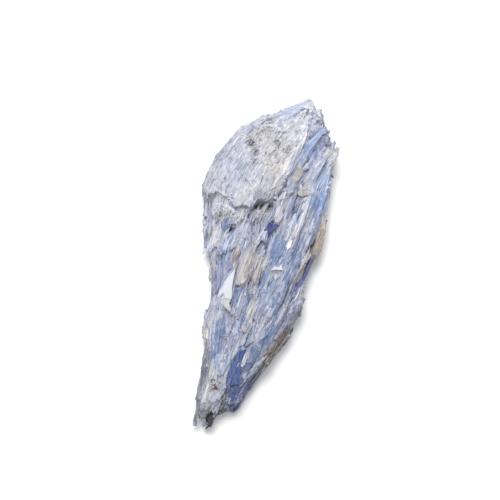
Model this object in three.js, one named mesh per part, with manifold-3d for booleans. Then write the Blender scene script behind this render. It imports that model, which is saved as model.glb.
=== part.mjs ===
// A hand-size piece of rough kyanite: one mass of flat, nearly parallel blades that grew together,
// with a felted cap of pale matrix on one shoulder, a few small garnets and a ragged broken tip.
// It lies on its flattest side. Millimetres; +Y runs along the blades from tip to head, +Z is up,
// and the origin is under the middle of the outline, on the surface that the piece rests on.
import * as THREE from "three";
import { mergeVertices } from "three/addons/utils/BufferGeometryUtils.js";
import Module from "manifold-3d";

const wasm = await Module();
wasm.setup();

// Outline seen from above, from the tip to the head: [y, left edge x, right edge x]
const OUTLINE = [
  [-57, 0.2, 4.2],
  [-54, -1.2, 9.2],
  [-51, -1.7, 11.8],
  [-47, -1.9, 13.8],
  [-43, -3.0, 14.8],
  [-38, -3.6, 16.0],
  [-33, -4.2, 18.0],
  [-29, -5.6, 20.2],
  [-22, -5.7, 21.8],
  [-16, -6.5, 23.2],
  [-11, -8.5, 23.4],
  [-6, -10.9, 22],
  [-2, -12.6, 21.4],
  [2, -14.6, 21],
  [7, -15.9, 21.0],
  [12, -17.4, 22.2],
  [17, -22.5, 23],
  [22, -22.6, 21.9],
  [28, -21.2, 20.9],
  [34, -19.3, 20.4],
  [40, -16.9, 19.7],
  [45.4, -13.6, 17.0],
  [47.4, -11.7, 13.4],
  [51, -6.9, 11.6],
  [54.4, -2.8, 10.0],
  [57.4, 0.8, 7.6],
  [59.2, 2.2, 5.4],
];

// Height of the ridge above the resting surface, from the tip to the head: [y, z]
const RIDGE = [
  [-60, 6.5],
  [-52, 10.0],
  [-44, 12.6],
  [-32, 15.0],
  [-18, 17.0],
  [0, 18.4],
  [14, 18.8],
  [30, 19.6],
  [44, 18.2],
  [52, 14.6],
  [59, 10.0],
];

// Cross-section: shares of the local width and of the ridge height, clockwise from the left edge
const SECTION = [
  [0.0, 0.42],
  [0.04, 0.7],
  [0.15, 0.9],
  [0.36, 1.0],
  [0.62, 0.97],
  [0.8, 0.85],
  [0.93, 0.62],
  [1.0, 0.38],
  [0.95, 0.16],
  [0.8, 0.06],
  [0.22, 0.05],
  [0.06, 0.15],
];

const CORE_INSET = 0.45; // how far the plain core stays inside the blades
const RIM = 0.7; // how far the middle of a blade of the upper side stays inside the outline
const LANE = 4.2; // distance between the lanes of blades across the middle of the upper side
const GRAIN_AXIS = 4; // x of the line of the grain that runs straight to the tip
const STATION = 15; // longest straight run of a blade along the curved skin
const FLOOR_SINK = 0.8; // what the resting side has lost to wear, so that it lies flat
const CAP_RISE = 3.8; // height that the felted cap adds to the ridge
const TERRACE_MESH = 9; // longest edge of a terrace face
const FIRST_LANE = -24; // line of the grain at the left edge
const SEED = 23;

// Steps of the upper side, the highest last: outline points and the height that each adds to the ridge
const TERRACES = [
  {
    rise: 0.7,
    edge: [
      [-14.8, -1.8], [-10.2, -0.8], [-6.2, 0.6], [-3.6, 3.2], [-1.4, 12.4], [3.8, 8.2],
      [6.4, 14.6], [7.4, 26.0], [-2.0, 30.0], [-22.4, 18.0], [-19.0, 12.0], [-17.2, 6.0],
    ],
  },
  {
    rise: 2.0,
    edge: [
      [-18.9, 9.4], [-15.4, 9.6], [-13.0, 8.4], [-9.4, 8.9], [-5.6, 10.6], [-4.6, 14.6],
      [1.0, 20.6], [8.6, 26.4], [7.6, 33.0], [-10.0, 36.0], [-22.2, 22.0], [-21.8, 17.4],
      [-19.4, 13.2],
    ],
  },
  {
    rise: CAP_RISE,
    edge: [
      [-22.6, 18.6], [-19.4, 16.6], [-16.2, 18.6], [-12.6, 17.6], [-9.2, 15.2], [-6.6, 16.8],
      [-4.0, 17.4], [-2.6, 19.8], [0.6, 21.2], [1.2, 24.6], [2.0, 29.4], [5.4, 31.2],
      [5.6, 38.0], [7.0, 46.0], [5.0, 51.0], [-2.0, 53.0], [-9.0, 49.6], [-16.0, 43.0],
      [-20.0, 33.0], [-21.8, 26.0],
    ],
  },
];

// Crystals and chips that stand out on the upper side:
// [x, y, length, width, thickness, lean, pitch, roll, lift, share of the width kept at the far end],
// angles in degrees, lift above the local surface
const STANDOUTS = [
  [-3.9, -10.6, 16.5, 4.6, 3.2, -2, 2, -20, 0.8], // bright cleavage face
  [-2.6, -16.0, 7.5, 4.4, 2.4, -38, -6, -6, 0.5], // its broken foot
  [10.4, -1.6, 6.4, 4.2, 2.2, 8, 14, 4, 0.7], // small bright chip
  [3.6, 10.4, 9.0, 3.6, 2.6, 8, -20, 8, 0.1], // steep dark blue face
  [5.0, 19.2, 9.6, 4.0, 3.0, 2, 6, -4, 1.1], // pale blade ending in a white point
  [8.7, 20.4, 15.0, 3.0, 2.4, 2, 2, 6, 0.5],
  [13.1, 19.0, 20.0, 3.2, 2.6, 1, 1, 4, 0.6],
  [18.5, 22.0, 24.0, 2.0, 2.2, 2, 0, 22, 0.3],
  [21.2, 14.6, 13.0, 4.4, 4.6, -6, 2, 30, -0.2], // tan lump on the right rim
  [20.3, 3.0, 15.0, 2.2, 2.6, 10, 2, 36, 0.2],
  [0.0, 0.4, 18.5, 5.0, 2.8, -4, 1, -5, 0.9], // broad beige blade
  [-9.2, 3.8, 9.5, 4.2, 2.6, 6, 4, -8, 0.7],
  [-12.8, 3.4, 10.0, 4.0, 3.2, 3, 3, -18, 0.5],
  [-15.3, 9.4, 9.0, 3.0, 3.2, 10, 0, -34, 0.0],
  [-9.7, -6.4, 8.5, 2.8, 2.6, 0, 3, -28, 0.1],
  [1.4, -14.4, 10.5, 3.4, 2.6, -2, 4, 4, 0.9],
  [9.2, -13.6, 12.0, 3.0, 2.4, 3, 3, 5, 0.8],
  [17.4, -4.0, 26.0, 2.2, 2.4, 12, 0, 24, 0.4],
  [2.4, -22.8, 8.5, 4.0, 2.6, 3, 5, 2, 0.7],
  [6.0, -21.4, 6.0, 2.6, 2.4, -4, 5, 0, 0.6],
  [10.2, -22.6, 8.5, 4.4, 2.2, 8, 5, 4, 0.6],
  [-2.4, -25.6, 18.0, 3.2, 2.4, -9, 0, -12, 0.5],
  [-6.3, -25.4, 11.0, 3.0, 2.8, -12, 1, -32, 0.2], // pale left rim
  [3.6, -30.6, 10.0, 3.6, 2.6, 2, 4, 2, 0.8],
  [2.9, -37.0, 8.0, 4.6, 2.6, -6, 5, -4, 0.8],
  [8.0, -35.4, 17.0, 3.8, 2.0, 5, 0, 6, 0.0], // deep blue blade
  [11.9, -28.4, 11.0, 3.2, 2.4, 10, 3, 10, 0.6],
  [12.0, -42.6, 12.0, 4.8, 2.4, 9, -2, 14, 0.0], // deep blue lower flank
  [18.6, -23.0, 18.0, 2.6, 3.0, 10, 0, 46, 0.2], // bronze fibres on the flank
  [20.6, -12.8, 11.0, 3.6, 3.4, 14, 2, 40, 0.1],
  [1.6, -47.2, 14.0, 4.6, 3.0, -3, 0, -6, 0.3],
  [0.2, -54.4, 10.6, 3.0, 3.2, 180, 4, 20, -2.0, 0.3], // ragged spike at the tip
  [4.3, -55.0, 8.4, 3.2, 2.8, 164, 3, -20, -2.4, 0.5], // small dark crystal at the tip
  [6.6, -51.6, 6.0, 3.6, 2.6, 16, -5, 14, -0.6],
  [8.8, 43.4, 15.6, 3.0, 2.6, 17, -4, 12, 0.5],
  [13.2, 37.0, 13.0, 3.6, 2.6, 14, -2, 14, 0.7],
  [16.8, 39.0, 12.6, 4.2, 3.2, 8, -2, 30, 0.4], // right shoulder of the head
  [7.2, 33.8, 7.0, 2.8, 2.4, 2, 6, 0, 1.0],
  [10.4, 28.4, 5.0, 3.4, 2.8, -30, 10, 4, 1.2], // knob above the hollow
  [3.4, 27.0, 6.5, 3.4, 2.6, 14, 8, 2, 0.9],
  [0.2, 51.0, 11.0, 5.0, 3.0, 36, -26, -8, 0.0],
  [4.4, 53.0, 11.0, 4.6, 3.0, 6, -29, 6, 0.1],
  [-19.5, 24.6, 15.0, 4.2, 4.0, 2, 0, -52, -0.6], // left wall of the cap
  [-16.4, 35.6, 13.0, 4.6, 4.0, 18, -2, -48, -0.8],
  [-11.6, 44.2, 12.0, 5.0, 4.0, 36, -6, -40, -1.0],
];

// Clefts between the blades and under the ledges: [x, y, length, width, depth, lean]
const CLEFTS = [
  [-0.8, 19.4, 2.4, 6.6, 2.6, -14],
  [10.9, 22.4, 8.4, 1.3, 2.6, -3],
  [4.8, 24.6, 1.8, 4.6, 2.2, -22],
  [2.9, 6.8, 2.0, 3.6, 2.0, -28],
  [0.6, 12.8, 3.4, 1.4, 2.0, 22],
  [-8.8, 8.0, 1.6, 4.8, 2.0, 18],
  [-3.5, 1.0, 5.4, 1.3, 1.8, 6],
  [2.3, -8.0, 5.4, 1.1, 2.0, 4],
  [5.9, -3.6, 9.4, 0.9, 1.8, 2],
  [0.2, -20.6, 5.6, 1.0, 1.8, -8],
  [8.8, -19.4, 1.2, 4.6, 1.6, 8],
  [16.0, -6.0, 18.0, 0.9, 1.6, 11],
  [18.9, 4.0, 20.0, 0.9, 1.8, 12],
  [13.4, -37.2, 1.4, 5.0, 2.0, 22],
  [6.6, -48.8, 3.4, 1.8, 1.8, 20],
];

// Where grains of matrix cover the blades: [x, y, radius across, radius along, number of grains]
const GRAINY = [
  [-6.5, 38.5, 9.5, 8.0, 8],
  [-12.5, 13.6, 7.5, 3.4, 4],
  [2.0, -43.4, 3.6, 3.6, 2],
];

// Hollows in the granular patch of the cap: [x, y, radius]
const CAP_PITS = [
  [-11.8, 38.4, 1.5],
  [-3.2, 41.6, 1.3],
  [-8.6, 34.8, 1.2],
  [-5.8, 37.2, 0.9],
  [-9.6, 31.6, 1.0],
  [-1.0, 35.0, 0.8],
];

// Garnets set in the tip and the rim: [x, y, radius]
const GARNETS = [
  [2.3, -44.6, 1.25],
  [1.5, -42.3, 0.95],
  [18.4, 36.8, 0.8],
  [13.0, 46.2, 0.7],
];

const radians = THREE.MathUtils.degToRad;

// Random numbers that are the same on every run.
function seededRandom(seed) {
  let state = seed;
  return () => {
    state = (state * 1664525 + 1013904223) % 4294967296;
    return state / 4294967296;
  };
}

const random = seededRandom(SEED);
const between = (low, high) => low + (high - low) * random();

// Value of one column of a table at y, straight between its rows.
function along(table, y, column) {
  const last = table.length - 1;
  if (y <= table[0][0]) return table[0][column];
  if (y >= table[last][0]) return table[last][column];
  const above = table.findIndex((row) => row[0] > y);
  const [a, b] = [table[above - 1], table[above]];
  return a[column] + ((b[column] - a[column]) * (y - a[0])) / (b[0] - a[0]);
}

const leftEdge = (y) => along(OUTLINE, y, 1);
const rightEdge = (y) => along(OUTLINE, y, 2);

function insideOutline(x, y, spare) {
  const [first, last] = [OUTLINE[0][0], OUTLINE[OUTLINE.length - 1][0]];
  return y > first - spare && y < last + spare && x > leftEdge(y) - spare && x < rightEdge(y) + spare;
}

function insideEdge(edge, x, y) {
  let inside = false;
  edge.forEach(([ax, ay], i) => {
    const [bx, by] = edge[(i + edge.length - 1) % edge.length];
    if (ay > y !== by > y && x < ((bx - ax) * (y - ay)) / (by - ay) + ax) inside = !inside;
  });
  return inside;
}

// Cross-section of the body at y as points [x, z], drawn in from the outside by inset.
function sectionAt(y, inset) {
  const [left, right, ridge] = [leftEdge(y) + inset, rightEdge(y) - inset, along(RIDGE, y, 1) - inset];
  return SECTION.map(([share, height]) => [left + (right - left) * share, ridge * height]);
}

// How far the terraces lift the upper side at a point.
function riseAt(x, y) {
  return TERRACES.reduce((rise, terrace) => (insideEdge(terrace.edge, x, y) ? terrace.rise : rise), 0);
}

// Height of the upper side at a point.
function upperSide(x, y) {
  const section = sectionAt(y, 0);
  const i = Math.max(0, Math.min(6, section.findIndex(([px]) => px >= x) - 1));
  const [[ax, az], [bx, bz]] = [section[i], section[i + 1]];
  const share = THREE.MathUtils.clamp((x - ax) / (bx - ax), 0, 1);
  return az + (bz - az) * share + riseAt(x, y);
}

// How much closer the lines of the grain lie at y than in the middle, right and left of GRAIN_AXIS.
function squeeze(y, right) {
  if (right) return 1 - 0.62 * THREE.MathUtils.clamp((10 - y) / 56, 0, 1) ** 1.1;
  return 1 - 0.45 * THREE.MathUtils.smoothstep(-y, 5, 45);
}

// Where a line of the grain runs at y: the lines close up to the tip and bend over in the head.
function grainAt(line, y) {
  const t = THREE.MathUtils.clamp((y - 14) / 40, 0, 1);
  const bend = 20 * (t ** 3 - t ** 4 / 2) + 0.5 * Math.max(y - 54, 0);
  const away = line + 0.03 * y + bend - GRAIN_AXIS;
  return GRAIN_AXIS + away * squeeze(y, away > 0);
}

// A point of the skin at y with the directions outwards and across; side counts round the section.
function skin(y, side) {
  const section = sectionAt(y, 0);
  const [ax, az] = section[Math.floor(side)];
  const [bx, bz] = section[(Math.floor(side) + 1) % section.length];
  const share = side - Math.floor(side);
  const across = new THREE.Vector3(bx - ax, 0, bz - az).normalize();
  const outwards = new THREE.Vector3(-across.z, 0, across.x);
  return { point: new THREE.Vector3(ax + (bx - ax) * share, y, az + (bz - az) * share), across, outwards };
}

// The same for a point of the upper side, found from x.
function skinAbove(x, y, rise) {
  const section = sectionAt(y, 0);
  const side = Math.max(0, Math.min(6, section.findIndex(([px]) => px > x) - 1));
  const found = skin(y, side);
  const share = (x - section[side][0]) / (section[side + 1][0] - section[side][0]);
  const z = section[side][1] + (section[side + 1][1] - section[side][1]) * share;
  return { ...found, point: new THREE.Vector3(x, y, z + rise) };
}

// A closed solid from a three.js geometry.
function solidOf(geometry) {
  const bare = geometry.index ? geometry.toNonIndexed() : geometry;
  const points = new THREE.BufferGeometry().setAttribute("position", bare.getAttribute("position"));
  const merged = mergeVertices(points, 1e-4);
  const mesh = new wasm.Mesh({
    numProp: 3,
    vertProperties: merged.attributes.position.array,
    triVerts: new Uint32Array(merged.index.array),
  });
  return new wasm.Manifold(mesh);
}

function joined(solids) {
  let row = solids;
  while (row.length > 1) {
    const next = [];
    for (let i = 0; i < row.length; i += 2) next.push(row[i + 1] ? row[i].add(row[i + 1]) : row[i]);
    row = next;
  }
  return row[0];
}

function placed(geometry, position, lean, pitch, roll) {
  const turn = new THREE.Euler(radians(pitch), radians(roll), radians(-lean), "ZXY");
  const matrix = new THREE.Matrix4().makeRotationFromEuler(turn).setPosition(position);
  return geometry.applyMatrix4(matrix);
}

// One crystal: a flat lath along Y, narrower on its upper face, broken aslant at both ends.
function bladeGeometry(length, width, thickness, slant, headWidth) {
  const [half, flat, deep] = [width / 2, width * 0.36, thickness / 2];
  const corners = [[-half, deep], [-flat, -deep], [flat, -deep], [half, deep]];
  const section = new THREE.Shape(corners.map(([x, z]) => new THREE.Vector2(x, z)));
  const geometry = new THREE.ExtrudeGeometry(section, { depth: length, steps: 1, bevelEnabled: false });
  geometry.translate(0, 0, -length / 2).rotateX(-Math.PI / 2);
  const points = geometry.getAttribute("position");
  for (let i = 0; i < points.count; i += 1) {
    const [x, y] = [points.getX(i), points.getY(i)];
    if (y > 0) points.setX(i, x * headWidth);
    points.setY(i, y + Math.sign(y) * slant * x);
  }
  return geometry;
}

// A closed solid through rings of points, all with the same number, clockwise seen from the head.
function loft(rings) {
  const sides = rings[0].length;
  const faces = [];
  for (let r = 0; r < rings.length - 1; r += 1) {
    for (let s = 0; s < sides; s += 1) {
      const [a, b] = [r * sides + s, r * sides + ((s + 1) % sides)];
      faces.push([a, b, a + sides], [b, b + sides, a + sides]);
    }
  }
  const head = (rings.length - 1) * sides;
  for (let s = 1; s < sides - 1; s += 1) faces.push([0, s + 1, s], [head, head + s, head + s + 1]);
  const geometry = new THREE.BufferGeometry();
  geometry.setAttribute("position", new THREE.Float32BufferAttribute(rings.flat(2), 3));
  geometry.setIndex(faces.flat());
  return solidOf(geometry);
}

// The plain body inside the blades, lofted through its cross-sections.
function core() {
  return loft(OUTLINE.map(([y]) => sectionAt(y, CORE_INSET).map(([x, z]) => [x, y, z])));
}

// A terrace: a slab with a chipped edge that stands on the body and follows its curve.
function terrace({ rise, edge }) {
  const shape = new THREE.Shape(edge.map(([x, y]) => new THREE.Vector2(x, y)));
  const slab = solidOf(new THREE.ExtrudeGeometry(shape, { depth: 1, steps: 1, bevelEnabled: false }));
  return slab.refineToLength(TERRACE_MESH).warp((point) => {
    const [x, y, share] = point;
    const base = upperSide(x, y) - riseAt(x, y);
    point[2] = base - 4 + (rise + 4 - CORE_INSET / 2) * share;
  });
}

// A long flat crystal that follows the skin. places gives the skin at the distance t along the crystal.
function lath(places, from, to, { width, lift, roll, slant }) {
  const steps = Math.max(1, Math.round((to - from) / STATION));
  const depth = 1.6;
  const rings = [];
  for (let i = 0; i <= steps; i += 1) {
    const { point, across, outwards } = places(from + ((to - from) * i) / steps);
    const [narrow, sunk] = i === steps ? [0.6, lift + 0.4] : [1, 0];
    const sideways = across.clone().applyAxisAngle(new THREE.Vector3(0, 1, 0), roll);
    const corner = (share, height) => {
      const at = point.clone().addScaledVector(sideways, share * width * narrow);
      at.addScaledVector(outwards, height);
      at.y += (i === 0 ? -1 : i === steps ? 1 : 0) * slant * share * width;
      return at.toArray();
    };
    rings.push([
      corner(-0.5, -depth), corner(-0.4, lift - sunk), corner(0.4, lift - sunk), corner(0.5, -depth),
    ]);
  }
  return loft(rings);
}

// The part of a run between from and to that holds, walking both ways from the middle.
function holding(from, to, holds) {
  const [middle, step] = [(from + to) / 2, 1.2];
  let [low, high] = [middle, middle];
  while (low - step > from && holds(low - step)) low -= step;
  while (high + step < to && holds(high + step)) high += step;
  return [low, high];
}

// How a crystal of the coat differs from its neighbours.
function anyBlade(onCap) {
  return {
    width: between(4.0, 6.2),
    lift: between(-0.25, 0.65) * (onCap ? 0.4 : 1),
    roll: radians(between(-14, 14)) * (onCap ? 0.3 : 1),
    slant: between(-0.9, 0.9),
  };
}

// Crystals side by side along the grain over the whole upper side, every second lane where it narrows.
function upperCoat() {
  const blades = [];
  for (let lane = 0; lane < 14; lane += 1) {
    const line = FIRST_LANE + lane * LANE;
    let start = -58 + between(0, 12);
    while (start < 56) {
      const length = between(16, 34);
      const [y, own] = [start + length / 2, line + between(-0.5, 0.5)];
      const rise = riseAt(grainAt(own, y), y);
      const at = (t) => [grainAt(own, t), t];
      const holds = (t) => insideOutline(...at(t), -RIM) && riseAt(...at(t)) === rise;
      const [from, to] = holding(y - length / 2, y + length / 2, holds);
      const blade = anyBlade(rise === CAP_RISE);
      start += length * 0.75;
      const crowded = lane % 2 === 1 && squeeze(y, own > GRAIN_AXIS) < 0.72;
      if (!holds(y) || to - from < 3 || crowded) continue;
      blades.push(lath((t) => skinAbove(...at(t), rise), from, to, blade));
    }
  }
  return blades;
}

// Crystals along the flanks and the underside, which follow the outline.
function flankCoat() {
  const lanes = [10.6, 11.5, 0.4, 6.3, 6.95, 7.6, 8.3];
  const blades = [];
  for (const side of lanes) {
    let start = OUTLINE[0][0] + between(0, 8);
    while (start < 50) {
      const length = Math.min(between(13, 30), 56 - start);
      blades.push(lath((t) => skin(t, side), start, start + length, anyBlade(false)));
      start += length * 0.8;
    }
  }
  for (const side of [9.15, 9.5, 9.85]) {
    for (let start = OUTLINE[0][0] + between(2, 10); start < 34; start += 24) {
      const blade = { width: between(9, 12), lift: between(0.1, 0.9), roll: 0, slant: between(-0.5, 0.5) };
      blades.push(lath((t) => skin(t, side), start, start + between(18, 26), blade));
    }
  }
  return blades;
}

function standout([x, y, length, width, thickness, lean, pitch, roll, lift, headWidth = 0.7]) {
  const z = upperSide(x, y);
  const blade = bladeGeometry(length, width, thickness, between(-0.5, 0.5), headWidth);
  const place = new THREE.Vector3(x, y, z - thickness / 2 + lift);
  return solidOf(placed(blade, place, lean, pitch, roll));
}

// Angular grains scattered over one patch of matrix.
function grains([cx, cy, rx, ry, count]) {
  return Array.from({ length: count }, () => {
    const [far, round] = [Math.sqrt(random()), between(0, 2 * Math.PI)];
    const [x, y] = [cx + rx * far * Math.cos(round), cy + ry * far * Math.sin(round)];
    const size = between(0.8, 1.6);
    const grain = new THREE.OctahedronGeometry(size).scale(1, between(1, 1.8), 0.5);
    grain.rotateX(between(-0.3, 0.3)).rotateZ(between(-0.6, 0.6));
    return solidOf(grain.translate(x, y, upperSide(x, y) - size * 0.2));
  });
}

function garnet([x, y, radius]) {
  const geometry = new THREE.DodecahedronGeometry(radius).rotateX(0.4).rotateZ(x);
  return solidOf(geometry.translate(x, y, upperSide(x, y) + radius * 0.1));
}

// A wedge that cuts a cleft into the upper side.
function cleft([x, y, length, width, depth, lean]) {
  const wedge = bladeGeometry(length, width, depth * 2, 0.2, 0.4).rotateY(Math.PI);
  const place = new THREE.Vector3(x, y, upperSide(x, y) + depth * 0.2);
  return solidOf(placed(wedge, place, lean, 0, 0));
}

function pit([x, y, radius]) {
  const geometry = new THREE.IcosahedronGeometry(radius, 0).rotateZ(y);
  return solidOf(geometry.translate(x, y, upperSide(x, y) + radius * 0.5));
}

// What lies below the resting plane, to be worn away.
function ground() {
  const depth = 20;
  const block = new THREE.BoxGeometry(90, 160, depth);
  return solidOf(block.translate(0, 0, FLOOR_SINK - depth / 2));
}

// The outer skin alone, without the small voids that crossing blades close off inside.
function withoutVoids(solid) {
  const shells = solid.decompose();
  return shells.reduce((best, shell) => (shell.volume() > best.volume() ? shell : best));
}

function geometryOf(solid) {
  const { vertProperties, triVerts } = solid.getMesh();
  const geometry = new THREE.BufferGeometry();
  geometry.setAttribute("position", new THREE.BufferAttribute(vertProperties, 3));
  geometry.setIndex(new THREE.BufferAttribute(triVerts, 1));
  geometry.computeVertexNormals();
  return geometry;
}

function kyanite() {
  const body = joined([
    core(),
    ...TERRACES.map(terrace),
    ...GRAINY.flatMap(grains),
    ...upperCoat(),
    ...flankCoat(),
    ...STANDOUTS.map(standout),
  ]);
  const cut = joined([ground(), ...CLEFTS.map(cleft), ...CAP_PITS.map(pit)]);
  const worn = withoutVoids(body.subtract(cut)).add(joined(GARNETS.map(garnet)));
  const geometry = geometryOf(withoutVoids(worn));
  geometry.computeBoundingBox();
  const middle = geometry.boundingBox.getCenter(new THREE.Vector3());
  geometry.translate(-middle.x, -middle.y, -FLOOR_SINK);
  const material = new THREE.MeshStandardMaterial({ color: 0xa9b4cc, roughness: 0.55, metalness: 0 });
  const mesh = new THREE.Mesh(geometry, material);
  mesh.name = "kyanite";
  return mesh;
}

const part = new THREE.Group();
part.add(kyanite());

export default part;
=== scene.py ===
"""Rough kyanite: a mass of intergrown blue-grey blades with a pale felted cap, laid on a pale table.

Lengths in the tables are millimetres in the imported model's frame: +Y from the tip to the head, +Z up.
"""

import math

import bpy
import numpy as np
from mathutils import Euler, Matrix, Vector
from mathutils.bvhtree import BVHTree


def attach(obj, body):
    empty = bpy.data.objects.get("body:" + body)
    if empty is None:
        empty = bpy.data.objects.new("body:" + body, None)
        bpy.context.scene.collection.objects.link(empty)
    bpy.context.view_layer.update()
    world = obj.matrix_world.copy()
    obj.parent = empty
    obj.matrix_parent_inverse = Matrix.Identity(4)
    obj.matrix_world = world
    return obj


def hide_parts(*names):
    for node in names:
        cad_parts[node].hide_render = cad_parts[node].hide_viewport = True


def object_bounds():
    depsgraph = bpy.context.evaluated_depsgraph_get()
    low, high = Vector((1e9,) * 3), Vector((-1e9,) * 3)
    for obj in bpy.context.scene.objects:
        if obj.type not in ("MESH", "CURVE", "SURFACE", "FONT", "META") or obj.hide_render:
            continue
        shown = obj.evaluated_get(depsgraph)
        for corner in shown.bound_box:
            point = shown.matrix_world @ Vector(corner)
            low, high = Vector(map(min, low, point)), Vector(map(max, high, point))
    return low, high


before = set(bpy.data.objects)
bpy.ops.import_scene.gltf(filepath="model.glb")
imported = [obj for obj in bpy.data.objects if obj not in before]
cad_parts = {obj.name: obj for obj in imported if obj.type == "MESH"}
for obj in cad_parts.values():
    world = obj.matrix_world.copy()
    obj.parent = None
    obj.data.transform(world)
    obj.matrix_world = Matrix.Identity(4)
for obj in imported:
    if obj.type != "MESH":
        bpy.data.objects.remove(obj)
solid_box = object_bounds()

MM = 0.001
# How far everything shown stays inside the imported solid's box
MARGIN = 0.12
rng = np.random.default_rng(20)
LOW = np.array(solid_box[0]) / MM + MARGIN
HIGH = np.array(solid_box[1]) / MM - MARGIN

# Colours of the stone, as they look in daylight, 0 to 255
SHADES = {
    "white": (238, 240, 242),
    "pearl": (208, 211, 215),
    "ash": (186, 185, 181),
    "pale": (216, 219, 225),
    "felt": (210, 210, 209),
    "cream": (218, 212, 200),
    "beige": (194, 186, 173),
    "tan": (174, 157, 136),
    "rust": (176, 128, 104),
    "bronze": (120, 106, 94),
    "moss": (112, 114, 104),
    "slate": (84, 88, 108),
    "dark": (66, 69, 74),
    "grey_blue": (160, 171, 194),
    "light_blue": (164, 182, 207),
    "mid_blue": (121, 143, 180),
    "deep_blue": (78, 102, 150),
    "indigo": (84, 98, 156),
    "lilac": (154, 158, 186),
}
NAMES = list(SHADES)

# What the stone is made of where no patch says otherwise
GROUND = {"pale": 1, "grey_blue": 1.5, "felt": 0.4, "lilac": 0.25, "mid_blue": 0.5, "beige": 0.15}

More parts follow.
